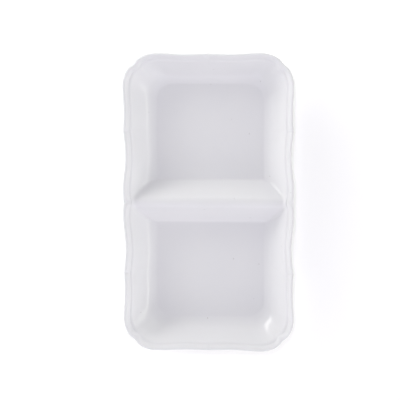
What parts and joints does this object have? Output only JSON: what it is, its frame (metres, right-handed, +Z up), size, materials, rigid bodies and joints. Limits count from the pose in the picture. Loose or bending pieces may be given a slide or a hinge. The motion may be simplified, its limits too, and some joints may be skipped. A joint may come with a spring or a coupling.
{
  "type": "divided serving bowl",
  "caption": "Long rectangular serving dish of white glazed stoneware, parted into square wells by a rounded divider, with flared walls, a bracket-shaped rolled rim and bare foot rings.",
  "frame": {"origin": "on the table, under the middle of the dish", "axes": "+Z up, +Y to the rear along the dish, +X to the right across it"},
  "size_m": [0.204, 0.356, 0.038],
  "materials": {
    "glaze": "gloss",
    "bare_clay": "matte"
  },
  "bodies": {
    "root": {"rim": "glaze", "left_wall": "glaze", "right_wall": "glaze", "rear_wall": "glaze", "front_wall": "glaze", "rear_floor": "glaze", "front_floor": "glaze", "divider": "glaze", "rear_foot_ring": "bare_clay", "front_foot_ring": "bare_clay"}
  },
  "joints": []
}
